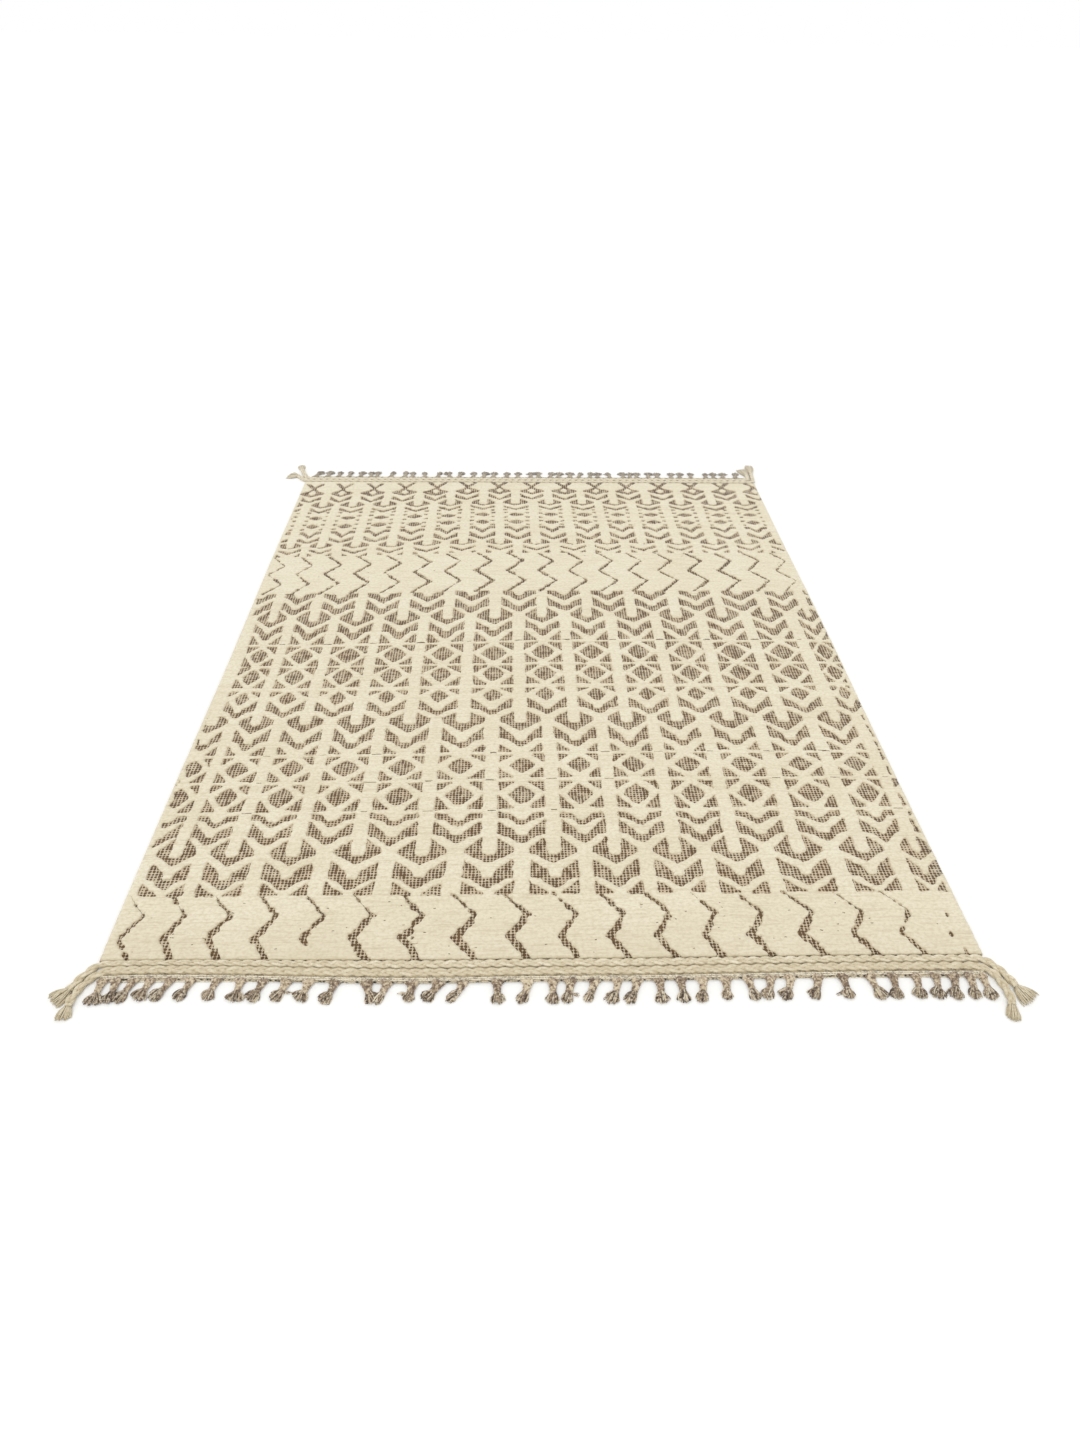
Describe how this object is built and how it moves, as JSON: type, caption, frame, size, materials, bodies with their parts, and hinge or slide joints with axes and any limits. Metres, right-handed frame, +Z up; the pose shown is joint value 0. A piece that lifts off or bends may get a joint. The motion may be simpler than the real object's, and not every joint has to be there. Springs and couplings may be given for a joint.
{
  "type": "hand-knotted wool rug",
  "caption": "Flat high-low pile wool rug: ivory motifs over a low brown flat-woven ground, plaited cords and a tasselled fringe along both ends.",
  "frame": {"origin": "middle of the field's underside, on the floor", "axes": "+X across the rug's width, +Y along its length away from the near end, +Z up out of the pile"},
  "size_m": [2.6411, 3.4642, 0.014],
  "materials": {
    "pile": "ivory cut wool pile, matt",
    "ground": "flat-woven undyed brown and ivory wool, matt",
    "cord": "plaited ivory wool yarn, matt",
    "heading": "twined ivory wool with a brown edge, matt",
    "tassel": "plaited grey-brown goat and wool yarn with cut ends, matt"
  },
  "bodies": {
    "root": {"rug_field": "pile", "near_inner_cord": "cord", "near_outer_cord": "cord", "far_inner_cord": "cord", "far_outer_cord": "cord", "near_fringe": "tassel", "far_fringe": "tassel"}
  },
  "joints": []
}
